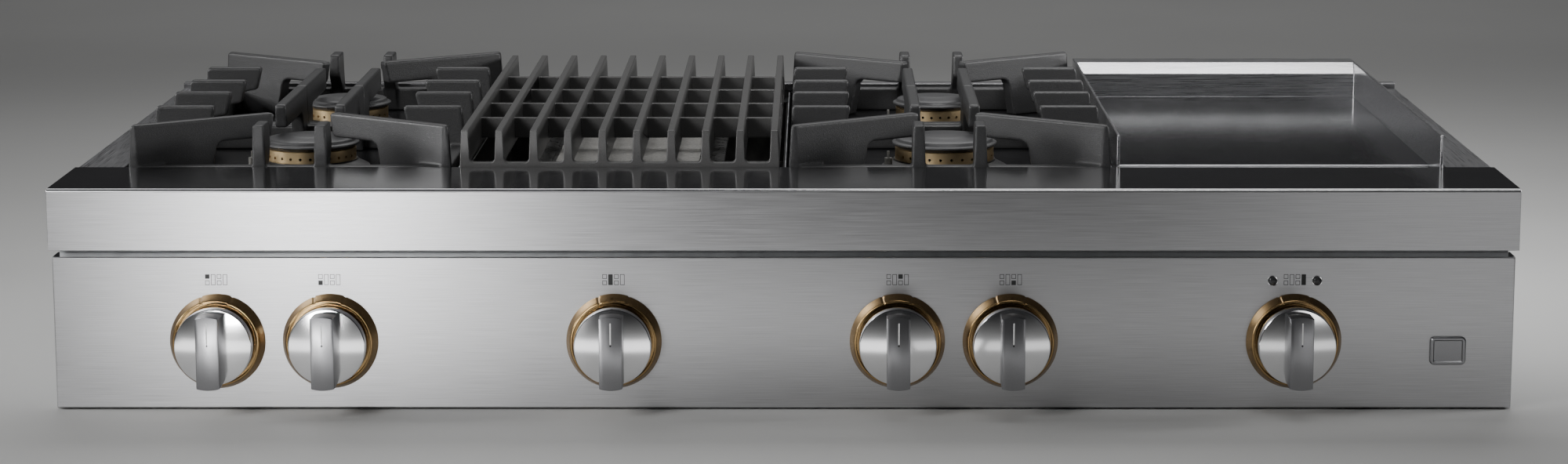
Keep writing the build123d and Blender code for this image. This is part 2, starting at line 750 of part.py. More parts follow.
diagonal_outline = [
    (0, GRATE_BASE, 0),
    (0, GRATE_TOP, 0),
    (diagonal_length, GRATE_TOP, TIP_ROUND),
    (diagonal_length - SIDE_LEAN, FINGER_BOTTOM, TIP_ROUND),
    (DIAGONAL_WINDOW + WINDOW_LEAN, FINGER_BOTTOM, NECK_ROUND),
    (DIAGONAL_WINDOW, GRATE_BASE, 0),
]


def grate_blades():
    """The blades of one grate with its burner at the origin side, centred on X = 0."""
    blades = []
    for side in (-1, 1):
        pair_x = side * BLADE_PAIR_X
        blades.append(blade((pair_x, GRATE_FRONT), (pair_x, GRATE_FRONT + SHORT_BLADE), short_outline))
        blades.append(blade((pair_x, GRATE_SEAM - CLEAR), (pair_x, MIDDLE_TIP_Y), middle_outline))
        outer = (side * diagonal_start[0], diagonal_start[1])
        inner = (side * diagonal_end[0], diagonal_end[1])
        blades.append(blade(outer, inner, diagonal_outline))
        for y in SIDE_BLADE_Y:
            edge = side * GRATE_BASE_HALF
            blades.append(blade((edge, y), (edge - side * SIDE_BLADE, y), side_outline))
    return blades


def front_grate(x):
    """The front grate of the module centred on x."""
    blades = grate_blades()
    with BuildPart() as grate:
        with BuildSketch(Plane.XY.offset(GRATE_BASE)):
            with Locations((0, GRATE_FRONT + GRATE_LENGTH / 2)):
                Rectangle(2 * GRATE_BASE_HALF, GRATE_LENGTH)
                Rectangle(
                    2 * (GRATE_BASE_HALF - GRATE_RAIL_WIDTH),
                    GRATE_LENGTH - 2 * GRATE_RAIL_WIDTH,
                    mode=Mode.SUBTRACT,
                )
        extrude(amount=GRATE_RAIL_TOP - GRATE_BASE)
        add(blades)
        with BuildSketch(facing_front(GRATE_FRONT + GRATE_LENGTH)) as front_view:
            with BuildLine():
                Polyline(
                    (-GRATE_BASE_HALF, GRATE_BASE),
                    (-GRATE_TOP_HALF, GRATE_TOP),
                    (GRATE_TOP_HALF, GRATE_TOP),
                    (GRATE_BASE_HALF, GRATE_BASE),
                    close=True,
                )
            make_face()
            fillet(front_view.vertices().group_by(Axis.Y)[-1], SHOULDER_ROUND)
        extrude(amount=GRATE_LENGTH, mode=Mode.INTERSECT)
    return grate.part.moved(Location((x, 0, 0)))


seam_plane = Plane.XZ.offset(-GRATE_SEAM)

for x, module in ((LEFT_BURNERS, "left"), (RIGHT_BURNERS, "right")):
    casting = front_grate(x)
    with BuildPart() as grate_front:
        add(casting)
    save(grate_front, f"grate_{module}_front")
    with BuildPart() as grate_rear:
        add(mirror(casting, about=seam_plane, mode=Mode.PRIVATE))
    save(grate_rear, f"grate_{module}_rear")

# Grill

bar_x = [GRILL + BAR_PITCH * (index - (BARS - 1) / 2) for index in range(BARS)]
GRILL_GRATE_FRONT = -213.5
GRILL_GRATE_REAR = 324.0
REAR_STRIP_INSET = 6.0
grill_half = BAR_PITCH * (BARS - 1) / 2 + BAR_BASE_WIDTH / 2
FRAME_STRIP = 8.0
VALLEY_ROUND = 4.0
BAR_END_ROUND = 2.5


def bar_section(x):
    """The drafted cross-section of the bar centred on x, in a sketch that faces the front."""
    with BuildLine() as section:
        Polyline(
            (x - BAR_BASE_WIDTH / 2, BAR_BOTTOM),
            (x - BAR_TOP_WIDTH / 2, BAR_TOP),
            (x + BAR_TOP_WIDTH / 2, BAR_TOP),
            (x + BAR_BASE_WIDTH / 2, BAR_BOTTOM),
            close=True,
        )
    make_face(section.edges())


def comb(y_rear):
    """A cross strip of the grill grate up to y_rear, with rounded valleys between the bars."""
    with BuildSketch(facing_front(y_rear)) as outline:
        with Locations((GRILL, (GRILL_FRAME_BOTTOM + BAR_BOTTOM) / 2)):
            Rectangle(2 * grill_half, BAR_BOTTOM - GRILL_FRAME_BOTTOM)
        for x in bar_x:
            bar_section(x)
        valleys = [
            corner
            for corner in outline.vertices()
            if abs(corner.Y - BAR_BOTTOM) < CLEAR and abs(corner.X - GRILL) < grill_half - CLEAR
        ]
        fillet(valleys, VALLEY_ROUND)
    extrude(outline.sketch, amount=FRAME_STRIP)


with BuildPart() as grill_grate:
    with BuildSketch(facing_front(GRILL_GRATE_REAR)):
        for x in bar_x:
            bar_section(x)
    extrude(amount=GRILL_GRATE_REAR - GRILL_GRATE_FRONT)
    bar_ends = grill_grate.faces().group_by(Axis.Y)[-1].edges()
    fillet([edge for edge in bar_ends if edge.center().Z > BAR_BOTTOM + CLEAR], BAR_END_ROUND)
    for y in RIB_Y:
        slab(
            (GRILL - grill_half, GRILL + grill_half),
            (y - RIB_WIDTH / 2, y + RIB_WIDTH / 2),
            (RIB_TOP - RIB_DEPTH, RIB_TOP),
        )
    comb(GRILL_GRATE_FRONT + FRAME_STRIP)
    comb(GRILL_GRATE_REAR - REAR_STRIP_INSET)
save(grill_grate, "grill_grate")

LINER_HALF = 140.4
LINER_RIM = 172.0

with BuildPart() as grill_liner:
    slab(
        (GRILL - LINER_HALF, GRILL + LINER_HALF),
        (pan_opening_front, pan_opening_rear),
        (GRILL_FLOOR, LINER_RIM),
    )
    slab(
        (GRILL - LINER_HALF + SHEET, GRILL + LINER_HALF - SHEET),
        (pan_opening_front + SHEET, pan_opening_rear - SHEET),
        (GRILL_FLOOR + SHEET, LINER_RIM),
        Mode.SUBTRACT,
    )
save(grill_liner, "grill_liner")

BURNER_FLANGE = 20.0
BURNER_FLANGE_THICK = 2.0
BURNER_WALL = 6.0
BURNER_BOX_DEPTH = 38.0
BURNER_WELL = 8.0
BURNER_LEG = 6.0
LEG_INSET = 12.0
SCREEN_DROP = 1.5

burner_mid = sum(GRILL_BURNER_Y) / 2
burner_half = (GRILL_BURNER_Y[1] - GRILL_BURNER_Y[0]) / 2


def burner_slab(inset, z, mode=Mode.ADD):
    """A block centred on the grill burner, inset from the outline of its mouth."""
    half_x = GRILL_BURNER_HALF - inset
    half_y = burner_half - 2 * BURNER_WALL - inset
    slab((GRILL - half_x, GRILL + half_x), (burner_mid - half_y, burner_mid + half_y), z, mode)


with BuildPart() as grill_burner:
    slab(
        (GRILL - GRILL_BURNER_HALF - BURNER_FLANGE, GRILL + GRILL_BURNER_HALF + BURNER_FLANGE),
        GRILL_BURNER_Y,
        (GRILL_BURNER_TOP - BURNER_FLANGE_THICK, GRILL_BURNER_TOP),
    )
    burner_slab(-BURNER_WALL, (GRILL_BURNER_TOP - BURNER_BOX_DEPTH, GRILL_BURNER_TOP - BURNER_FLANGE_THICK))
    burner_slab(0, (GRILL_BURNER_TOP - BURNER_WELL, GRILL_BURNER_TOP), Mode.SUBTRACT)
    leg_x = GRILL_BURNER_HALF - LEG_INSET
    leg_y = burner_half - 2 * LEG_INSET
    with BuildSketch(Plane.XY.offset(GRILL_FLOOR + SHEET)):
        with Locations((GRILL, burner_mid)):
            with GridLocations(2 * leg_x, 2 * leg_y, 2, 2):
                Rectangle(2 * BURNER_LEG, 2 * BURNER_LEG)
    extrude(amount=GRILL_BURNER_TOP - BURNER_BOX_DEPTH - GRILL_FLOOR - SHEET)
save(grill_burner, "grill_burner")

with BuildPart() as grill_screen:
    burner_slab(0, (GRILL_BURNER_TOP - BURNER_WELL, GRILL_BURNER_TOP - SCREEN_DROP))
save(grill_screen, "grill_screen")

# Griddle

TROUGH_BOTTOM = 152.0
TRIM_STEP = REAR_TRIM_TOP + 1.0
LEAN_OFFSET = (1.4, 0.8)

with BuildPart() as griddle_guard:
    for wall in (GRIDDLE - GUARD_HALF, GRIDDLE + GUARD_HALF - GUARD_SHEET):
        with BuildSketch(Plane.YZ.offset(wall)):
            with BuildLine():
                Polyline(
                    (GRATE_FRONT, GUARD_BOTTOM),
                    (GRATE_FRONT, GUARD_TOP),
                    (GRIDDLE_SHELF, GUARD_TOP),
                    (GRIDDLE_SHELF, TRIM_STEP),
                    (pan_opening_rear, TRIM_STEP),
                    (pan_opening_rear, GUARD_BOTTOM),
                    close=True,
                )
            make_face()
        extrude(amount=GUARD_SHEET)
    with BuildSketch(Plane.YZ.offset(GRIDDLE - GUARD_HALF + GUARD_SHEET)):
        with BuildLine():
            Polyline(
                (GRIDDLE_BACK, GUARD_BOTTOM),
                (GRIDDLE_BACK, GRIDDLE_STEP),
                (GRIDDLE_LEAN, GUARD_TOP),
                (GRIDDLE_SHELF, GUARD_TOP),
                (GRIDDLE_SHELF, GUARD_TOP - GUARD_SHEET),
                (GRIDDLE_LEAN + LEAN_OFFSET[0], GUARD_TOP - GUARD_SHEET),
                (GRIDDLE_BACK + GUARD_SHEET, GRIDDLE_STEP - LEAN_OFFSET[1]),
                (GRIDDLE_BACK + GUARD_SHEET, GUARD_BOTTOM),
                close=True,
            )
        make_face()
    extrude(amount=2 * (GUARD_HALF - GUARD_SHEET))
save(griddle_guard, "griddle_guard")

plate_half = GUARD_HALF - GUARD_SHEET

with BuildPart() as griddle_plate:
    slab(
        (GRIDDLE - plate_half, GRIDDLE + plate_half),
        (GRIDDLE_FRONT, GRIDDLE_BACK),
        (GRIDDLE_SURFACE - GRIDDLE_THICK, GRIDDLE_SURFACE),
    )
save(griddle_plate, "griddle_plate")

TRAY_TOP = 180.0
TRAY_GAP_FRONT = 3.0
TRAY_GAP = 1.5
tray_front = MODULE_FRONT + TRAY_GAP_FRONT
tray_rear = GRIDDLE_FRONT - TRAY_GAP
tray_half = plate_half - TRAY_GAP

with BuildPart() as grease_tray:
    slab((GRIDDLE - tray_half, GRIDDLE + tray_half), (tray_front, tray_rear), (TROUGH_BOTTOM, TRAY_TOP))
    slab(
        (GRIDDLE - tray_half + SHEET, GRIDDLE + tray_half - SHEET),
        (tray_front + SHEET, tray_rear - SHEET),
        (TROUGH_BOTTOM + SHEET, TRAY_TOP),
        Mode.SUBTRACT,
    )
save(grease_tray, "grease_tray")

SUPPORT_TOP = GRIDDLE_SURFACE - GRIDDLE_THICK
ELEMENTS = 4
ELEMENT_PITCH = 62.0
ELEMENT_R = 12.0
ELEMENT_DROP = 34.0
ELEMENT_Y = (-140.0, 260.0)
FEED_HALF = 120.0
FEED_Y = (-130.0, -106.0)
FEED_HALF_HEIGHT = 10.0
element_z = SUPPORT_TOP - ELEMENT_DROP

with BuildPart() as griddle_burner:
    for index in range(ELEMENTS):
        x = GRIDDLE + (index - (ELEMENTS - 1) / 2) * ELEMENT_PITCH
        rounds(ELEMENT_R, [(x, element_z)], *ELEMENT_Y)
    slab(
        (GRIDDLE - FEED_HALF, GRIDDLE + FEED_HALF),
        FEED_Y,
        (element_z - FEED_HALF_HEIGHT, element_z + FEED_HALF_HEIGHT),
    )
save(griddle_burner, "griddle_burner")

# Fasteners

SCREW_R = 4.0
SCREW_HEAD = 1.8
SCREW_Z = 22.0
SCREW_PITCH = 270.0
SCREWS = 5

with BuildPart() as screws:
    rear_screws = [((index - (SCREWS - 1) / 2) * SCREW_PITCH, SCREW_Z) for index in range(SCREWS)]
    rounds(SCREW_R, rear_screws, CHASSIS_REAR, CHASSIS_REAR + SCREW_HEAD)
save(screws, "screws")
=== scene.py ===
import json
from math import cos, pi, radians, sin, sqrt

import bmesh
import bpy
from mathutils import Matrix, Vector

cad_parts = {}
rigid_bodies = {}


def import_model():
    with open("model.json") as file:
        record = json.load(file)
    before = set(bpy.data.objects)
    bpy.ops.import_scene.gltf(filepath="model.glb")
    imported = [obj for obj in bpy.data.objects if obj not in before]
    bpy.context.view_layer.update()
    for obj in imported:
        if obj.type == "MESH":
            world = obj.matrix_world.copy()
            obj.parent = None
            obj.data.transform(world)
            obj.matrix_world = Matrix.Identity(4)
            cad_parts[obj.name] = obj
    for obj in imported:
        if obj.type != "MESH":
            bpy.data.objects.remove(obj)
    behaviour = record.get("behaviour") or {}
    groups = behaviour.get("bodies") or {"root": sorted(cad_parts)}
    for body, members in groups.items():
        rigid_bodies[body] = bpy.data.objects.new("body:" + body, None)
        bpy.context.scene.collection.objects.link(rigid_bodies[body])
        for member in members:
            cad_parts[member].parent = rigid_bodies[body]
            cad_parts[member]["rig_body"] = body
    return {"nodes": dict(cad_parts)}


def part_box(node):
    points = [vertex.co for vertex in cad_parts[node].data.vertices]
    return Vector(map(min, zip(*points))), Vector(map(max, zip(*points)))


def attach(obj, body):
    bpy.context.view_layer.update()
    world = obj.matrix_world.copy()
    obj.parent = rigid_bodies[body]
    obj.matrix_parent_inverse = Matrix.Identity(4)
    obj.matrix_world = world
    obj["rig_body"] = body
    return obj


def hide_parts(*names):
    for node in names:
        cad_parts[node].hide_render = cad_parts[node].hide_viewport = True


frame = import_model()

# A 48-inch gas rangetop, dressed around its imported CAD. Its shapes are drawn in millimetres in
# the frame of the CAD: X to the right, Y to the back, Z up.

MM = 0.001
KNOBS = range(1, 7)
# A lathe's outline keeps this far from its axis, so that no face shrinks to a point
AXIS_R = 0.01
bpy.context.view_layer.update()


def limits(node):
    """The lowest and highest corner of a CAD node, in millimetres."""
    low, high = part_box(node)
    return low / MM, high / MM


def middle(node):
    low, high = limits(node)
    return (low + high) / 2


# Materials

# The stretch of a noise's values that fills a material's whole range
NOISE_RANGE = (0.3, 0.7)
# How far the grain of brushed metal strays from its roughness, and from its colour as a factor
GRAIN_ROUGHNESS = (-0.05, 0.07)
GRAIN_COLOUR = (0.86, 1.1)
# The upward part of a face's normal, from upright to level, and the grain's part in its roughness
UPRIGHT_TO_LEVEL = (0.4, 0.95)
POLISHED_GRAIN = (-0.03, 0.04)


def metal(name, colour, roughness, metallic=1.0, **sockets):
    """A material with its own Principled shader, metal unless told otherwise."""
    material = bpy.data.materials.new(name)
    material.use_nodes = True
    inputs = material.node_tree.nodes["Principled BSDF"].inputs
    inputs["Base Color"].default_value = (*colour, 1.0)
    inputs["Roughness"].default_value = roughness
    inputs["Metallic"].default_value = metallic
    for socket, value in sockets.items():
        inputs[socket.replace("_", " ")].default_value = value
    return material


def grain(material, stretch, detail=2.0):
    """Noise on the piece's own axes, with this many features per metre along X, Y and Z."""
    tree = material.node_tree
    place = tree.nodes.new("ShaderNodeTexCoord")
    spread = tree.nodes.new("ShaderNodeMapping")
    spread.inputs["Scale"].default_value = stretch
    noise = tree.nodes.new("ShaderNodeTexNoise")
    noise.inputs["Scale"].default_value = 1.0
    noise.inputs["Detail"].default_value = detail
    tree.links.new(place.outputs["Object"], spread.inputs["Vector"])
    tree.links.new(spread.outputs["Vector"], noise.inputs["Vector"])
    return noise.outputs["Fac"]


def remap(material, value, source, target):
    """Spreads a value from one range over another and gives the socket with the result."""
    tree = material.node_tree
    spread = tree.nodes.new("ShaderNodeMapRange")
    for limit, amount in zip(("From Min", "From Max", "To Min", "To Max"), (*source, *target)):
        spread.inputs[limit].default_value = amount
    tree.links.new(value, spread.inputs["Value"])
    return spread.outputs["Result"]


def vary_roughness(material, value, low, high):
    tree = material.node_tree
    result = remap(material, value, NOISE_RANGE, (low, high))
    tree.links.new(result, tree.nodes["Principled BSDF"].inputs["Roughness"])


def vary_colour(material, value, dark, light):
    tree = material.node_tree
    ramp = tree.nodes.new("ShaderNodeValToRGB")
    for element, place, colour in zip(ramp.color_ramp.elements, NOISE_RANGE, (dark, light)):
        element.position = place
        element.color = (*colour, 1.0)
    tree.links.new(value, ramp.inputs["Fac"])
    tree.links.new(ramp.outputs["Color"], tree.nodes["Principled BSDF"].inputs["Base Color"])


def emboss(material, value, depth):
    """Raises and lowers the surface by the value, to a depth in millimetres."""
    tree = material.node_tree
    bump = tree.nodes.new("ShaderNodeBump")
    bump.inputs["Strength"].default_value = 1.0
    bump.inputs["Distance"].default_value = depth * MM
    tree.links.new(value, bump.inputs["Height"])
    tree.links.new(bump.outputs["Normal"], tree.nodes["Principled BSDF"].inputs["Normal"])


def brushed(name, colour, roughness, stretch, depth):
    """Sheet metal with a fine grain along the axis where the stretch is small."""
    material = metal(name, colour, roughness)
    lines = grain(material, stretch, 3.0)
    smoother, rougher = GRAIN_ROUGHNESS
    dark, light = GRAIN_COLOUR
    vary_roughness(material, lines, roughness + smoother, roughness + rougher)
    vary_colour(material, lines, [c * dark for c in colour], [min(1.0, c * light) for c in colour])
    emboss(material, lines, depth)
    return material


def polish_level_faces(material, lines, upright, level):
    """Makes faces that look up smoother than upright ones, with the grain's variation on top."""
    tree = material.node_tree
    facing = tree.nodes.new("ShaderNodeNewGeometry")
    split = tree.nodes.new("ShaderNodeSeparateXYZ")
    total = tree.nodes.new("ShaderNodeMath")
    tree.links.new(facing.outputs["Normal"], split.inputs["Vector"])
    blend = remap(material, split.outputs["Z"], UPRIGHT_TO_LEVEL, (upright, level))
    vary = remap(material, lines, NOISE_RANGE, POLISHED_GRAIN)
    tree.links.new(blend, total.inputs[0])
    tree.links.new(vary, total.inputs[1])
    tree.links.new(total.outputs["Value"], tree.nodes["Principled BSDF"].inputs["Roughness"])


ALONG_X = (22.0, 2600.0, 2600.0)
ALONG_Y = (2600.0, 22.0, 2600.0)
STEEL = (0.56, 0.56, 0.57)
UPRIGHT_ROUGHNESS = 0.34
LEVEL_ROUGHNESS = 0.13

stainless = brushed("stainless_front", STEEL, UPRIGHT_ROUGHNESS, ALONG_X, 0.012)
polish_level_faces(stainless, grain(stainless, ALONG_X, 3.0), UPRIGHT_ROUGHNESS, LEVEL_ROUGHNESS)
stainless_side = brushed("stainless_side", (0.36, 0.36, 0.37), 0.3, ALONG_Y, 0.004)
# The rear trim is the same stainless steel, with a colour painted darker than the front's as painted
# shade
stainless_painted_shade = brushed("stainless_rear_painted_shade", (0.2, 0.2, 0.205), 0.36, ALONG_X, 0.012)
guard_steel = brushed("guard_steel", (0.5, 0.5, 0.51), 0.28, ALONG_X, 0.004)
griddle_steel = brushed("griddle_steel", (0.4, 0.4, 0.41), 0.13, ALONG_X, 0.004)
tray_steel = brushed("tray_steel", (0.45, 0.45, 0.46), 0.3, ALONG_X, 0.02)


def mottled(name, colour, roughness, size, depth, metallic=1.0, contrast=0.2):
    """A surface with an even, fine, cloudy texture."""
    material = metal(name, colour, roughness, metallic)
    cloud = grain(material, (1.0 / size,) * 3, 4.0)
    dark, light = 1.0 - contrast, 1.0 + contrast
    vary_roughness(material, cloud, roughness * dark, min(1.0, roughness * light))
    vary_colour(material, cloud, [c * dark for c in colour], [min(1.0, c * light) for c in colour])
    emboss(material, cloud, depth)
    return material


cast_iron = mottled("cast_iron", (0.042, 0.042, 0.043), 0.4, 0.0009, 0.2, 0.0)
bar_iron = mottled("bar_iron", (0.09, 0.089, 0.088), 0.34, 0.0008, 0.05, 0.0)
pan_enamel = mottled("pan_enamel", (0.012, 0.012, 0.013), 0.16, 0.012, 0.03, 0.0)
liner_steel = mottled("liner_steel", (0.14, 0.137, 0.133), 0.36, 0.01, 0.08)
burner_steel = mottled("burner_steel", (0.17, 0.168, 0.165), 0.3, 0.006, 0.06)
screen_steel = mottled("screen_steel", (0.5, 0.49, 0.47), 0.42, 0.003, 0.03)
galvanised = mottled("galvanised", (0.55, 0.56, 0.57), 0.42, 0.02, 0.03)
alloy = mottled("burner_alloy", (0.09, 0.09, 0.09), 0.45, 0.002, 0.06)
gas_alloy = mottled("gas_alloy", (0.5, 0.5, 0.49), 0.4, 0.002, 0.05)
brass = mottled("brass", (0.95, 0.72, 0.41), 0.36, 0.012, 0.006, 1.0, 0.05)
cap_enamel = mottled("cap_enamel", (0.055, 0.055, 0.057), 0.45, 0.0009, 0.03, 0.0)
ceramic = mottled("igniter_ceramic", (0.2, 0.195, 0.18), 0.4, 0.002, 0.02, 0.0)
bronze = mottled("bezel_bronze", (0.42, 0.28, 0.13), 0.26, 0.0012, 0.003, 1.0, 0.06)
chrome = mottled("dial_chrome", (0.86, 0.86, 0.87), 0.11, 0.02, 0.0, 1.0, 0.04)
satin = mottled("handle_satin", (0.32, 0.32, 0.33), 0.3, 0.0006, 0.003, 1.0, 0.05)
stem_steel = mottled("stem_steel", (0.5, 0.5, 0.5), 0.3, 0.003, 0.02)
smoked = mottled("lens_smoked", (0.06, 0.06, 0.062), 0.12, 0.003, 0.01, 0.0)
print_ink = mottled("print_ink", (0.02, 0.02, 0.02), 0.5, 0.002, 0.01, 0.0)
mark_white = mottled("mark_white", (0.9, 0.9, 0.89), 0.3, 0.002, 0.01, 0.0, 0.05)
gland_plastic = mottled("gland_plastic", (0.02, 0.02, 0.02), 0.5, 0.003, 0.03, 0.0)


# Building pieces


def shown(name, shape, material, body, stands_for=(), sharp=35.0):
    """Turns a drawing in millimetres into a piece riding on a body."""
    bmesh.ops.scale(shape, vec=(MM, MM, MM), verts=shape.verts)
    bmesh.ops.recalc_face_normals(shape, faces=shape.faces)
    mesh = bpy.data.meshes.new(name)
    shape.to_mesh(mesh)
    shape.free()
    mesh.materials.append(material)
    mesh.shade_smooth()
    mesh.set_sharp_from_angle(angle=radians(sharp))
    piece = bpy.data.objects.new(name, mesh)
    bpy.context.scene.collection.objects.link(piece)
    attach(piece, body)
    if stands_for:
        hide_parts(*stands_for)
    return piece


def soften(piece, width, segments=2, angle=30.0):
    """Rounds a piece's sharp edges and keeps its flat faces flat."""
    bevel = piece.modifiers.new("edges", "BEVEL")
    bevel.width = width * MM
    bevel.segments = segments
    bevel.limit_method = "ANGLE"
    bevel.angle_limit = radians(angle)
    bevel.use_clamp_overlap = False
    bevel.miter_outer = "MITER_ARC"
    normals = piece.modifiers.new("normals", "WEIGHTED_NORMAL")
    normals.keep_sharp = True
    return piece


def loft(shape, rings, wrap=False):
    """Joins rings of points of equal number with faces, and caps the two end rings."""
    made = [[shape.verts.new(point) for point in ring] for ring in rings]
    pairs = list(zip(made, made[1:]))
    if wrap:
        pairs.append((made[-1], made[0]))
    for first, second in pairs:
        for i in range(len(first)):
            j = (i + 1) % len(first)
            shape.faces.new((first[i], first[j], second[j], second[i]))
    if not wrap:
        shape.faces.new(list(reversed(made[0])))
        shape.faces.new(made[-1])


def lathe(shape, outline, place, turns=96, push=None):
    """Turns a closed outline of (radius, depth) about an axis. place(radius, angle, depth) gives
    the point, and push(angle, radius, depth) may add to the radius."""
    rings = []
    for step in range(turns):
        angle = 2 * pi * step / turns
        rings.append([place(r + (push(angle, r, d) if push else 0.0), angle, d) for r, d in outline])
    loft(shape, rings, wrap=True)


def block(shape, x, y, z):
    """A block between pairs of limits."""
    rings = [[(x[0], y[0], h), (x[1], y[0], h), (x[1], y[1], h), (x[0], y[1], h)] for h in z]
    loft(shape, rings)


def dressed(node, material, width, segments=2):
    """A CAD node's own shape with its edges rounded, shown in its place."""
    shape = bmesh.new()
    shape.from_mesh(frame["nodes"][node].data)
    bmesh.ops.remove_doubles(shape, verts=shape.verts, dist=1e-5)
    bmesh.ops.dissolve_limit(
        shape, angle_limit=radians(0.5), verts=shape.verts, edges=shape.edges
    )
    bmesh.ops.scale(shape, vec=(1 / MM,) * 3, verts=shape.verts)
    body = frame["nodes"][node]["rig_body"]
    piece = shown(node + "_skin", shape, material, body, (node,))
    if width:
        soften(piece, width, segments)
    return piece


def cast(node, material, grid, rounding):
    """A CAD node's shape as a casting, its outer and inner corners worn round."""
    piece = dressed(node, material, 0.0)
    skin = piece.modifiers.new("skin", "REMESH")
    skin.mode = "VOXEL"
    skin.voxel_size = grid * MM
    skin.use_smooth_shade = True
    worn = piece.modifiers.new("worn", "SMOOTH")
    worn.factor = 0.5
    worn.iterations = rounding
    return piece


def plain(nodes, material):
    """CAD nodes shown as they are, with a finish."""
    for node in nodes:
        slots = frame["nodes"][node].data.materials
        slots.clear()
        slots.append(material)


# Sheet metal and castings

CASTING_GRID = 1.28
CASTING_ROUNDING = 2

dressed("front_rail", stainless, 0.35)
dressed("control_panel", stainless, 0.2)
dressed("side_trim_left", stainless_side, 0.4)
dressed("side_trim_right", stainless_side, 0.4)
# The rear trim takes the darker copy of the stainless, whose colour is painted shade
dressed("rear_trim", stainless_painted_shade, 0.3)
dressed("griddle_guard", guard_steel, 0.5)
dressed("griddle_plate", griddle_steel, 0.8)
dressed("grease_tray", tray_steel, 0.3)
for side in ("left", "right"):
    dressed("cooktop_pan_" + side, pan_enamel, 0.4)
    for row in ("front", "rear"):
        grate = f"grate_{side}_{row}"
        cast(grate, cast_iron, CASTING_GRID, CASTING_ROUNDING)
dressed("grill_grate", bar_iron, 0.8)
dressed("grill_liner", liner_steel, 0.4)
dressed("grill_burner", burner_steel, 0.6)

plain(["side_panel_left", "side_panel_right", "bulkhead", "base_plate"], galvanised)
plain(["rear_panel", "module_dividers", "screws"], galvanised)
plain(["burner_bases"], alloy)
plain(["igniters"], ceramic)
plain(["griddle_burner"], burner_steel)
plain(["manifold_pipe", "gas_regulator", "valve_bodies"], gas_alloy)
plain(["cord_gland"], gland_plastic)
plain([f"valve_stem_{number}" for number in KNOBS], stem_steel)

# Grill burner's screen

HOLE_PITCH = 2.9
HOLE_R = 1.0
SCREEN_SHEET = 0.6
SCREEN_RIM = 3.0
SCREEN_MARGIN = 1.0
RIM_RISE = 0.3


def perforated(shape, x, y, height):
    """A level sheet of six-sided cells, each with a six-sided hole, in staggered rows."""
    step = HOLE_PITCH * sqrt(3.0) / 2
    reach = HOLE_PITCH / sqrt(3.0)
    columns = int((x[1] - x[0]) / HOLE_PITCH - 0.5)
    rows = int((y[1] - y[0]) / step - 0.5)
    corners = {}

    def corner(px, py):
        key = (round(px, 2), round(py, 2))
        if key not in corners:
            corners[key] = shape.verts.new((px, py, height))
        return corners[key]

    turns = [pi / 6 + i * pi / 3 for i in range(6)]
    start_x = (x[0] + x[1] - columns * HOLE_PITCH) / 2 + HOLE_PITCH / 4
    start_y = (y[0] + y[1] - (rows - 1) * step) / 2
    for row in range(rows):
        for column in range(columns):
            px = start_x + (column + (row % 2) / 2) * HOLE_PITCH
            py = start_y + row * step
            outer = [corner(px + reach * cos(a), py + reach * sin(a)) for a in turns]
            inner = [shape.verts.new((px + HOLE_R * cos(a), py + HOLE_R * sin(a), height)) for a in turns]
            for i in range(6):
                j = (i + 1) % 6
                shape.faces.new((outer[i], outer[j], inner[j], inner[i]))


screen_low, screen_high = limits("grill_screen")
sheet = bmesh.new()
perforated(
    sheet,
    (screen_low.x + SCREEN_MARGIN, screen_high.x - SCREEN_MARGIN),
    (screen_low.y + SCREEN_MARGIN, screen_high.y - SCREEN_MARGIN),
    screen_high.z,
)
screen = shown("screen_sheet", sheet, screen_steel, "chassis", ("grill_screen",))
thicken = screen.modifiers.new("sheet", "SOLIDIFY")
thicken.thickness = SCREEN_SHEET * MM
thicken.offset = -1.0
rim = bmesh.new()
rim_z = (screen_low.z, screen_high.z + RIM_RISE)
for x in (
    (screen_low.x, screen_low.x + SCREEN_RIM),
    (screen_high.x - SCREEN_RIM, screen_high.x),
):
    block(rim, x, (screen_low.y, screen_high.y), rim_z)
for y in (
    (screen_low.y, screen_low.y + SCREEN_RIM),
    (screen_high.y - SCREEN_RIM, screen_high.y),
):
    block(rim, (screen_low.x + SCREEN_RIM, screen_high.x - SCREEN_RIM), y, rim_z)
shown("screen_rim", rim, burner_steel, "chassis")

# Burner rings and caps

RING_INSET = 3.0
RING_WALL = 4.0
PORTS = 28
PORT_R = 1.25
PORT_Z = 179.6
PORT_SPARE = 1.0
PORT_SIDES = 12
RING_FOOT_ROUND = 0.3
RING_TOP_ROUND = 0.5
# The cap's steps from its skirt to its flat top, as (distance in from the rim, height)
CAP_STEPS = (
    (6.0, 0.0),
    (5.2, 0.6),
    (5.0, 2.6),
    (0.7, 2.8),
    (0.15, 3.1),
    (0.0, 3.7),
    (0.1, 4.5),
    (0.7, 5.0),
    (3.2, 5.5),
    (3.8, 5.9),
    (4.2, 7.6),
    (4.8, 8.2),
    (9.0, 9.1),
    (16.0, 9.9),
    (23.0, 10.5),
    (24.0, 10.8),
)
CAP_TOP_INSET = 25.0


def carve(piece, cutter):
    """Cuts a shape out of a piece and throws the cutter away."""
    tool_mesh = bpy.data.meshes.new("cutter")
    bmesh.ops.scale(cutter, vec=(MM, MM, MM), verts=cutter.verts)
    bmesh.ops.recalc_face_normals(cutter, faces=cutter.faces)
    cutter.to_mesh(tool_mesh)
    cutter.free()
    tool = bpy.data.objects.new("cutter", tool_mesh)
    bpy.context.scene.collection.objects.link(tool)
    cut = piece.modifiers.new("cut", "BOOLEAN")
    cut.object = tool
    cut.operation = "DIFFERENCE"
    cut.solver = "EXACT"
    bpy.context.view_layer.update()
    evaluated = piece.evaluated_get(bpy.context.evaluated_depsgraph_get())
    carved = bpy.data.meshes.new_from_object(evaluated)
    piece.modifiers.clear()
    piece.data = carved
    carved.shade_smooth()
    carved.set_sharp_from_angle(angle=radians(30.0))
    bpy.data.objects.remove(tool)
    return piece


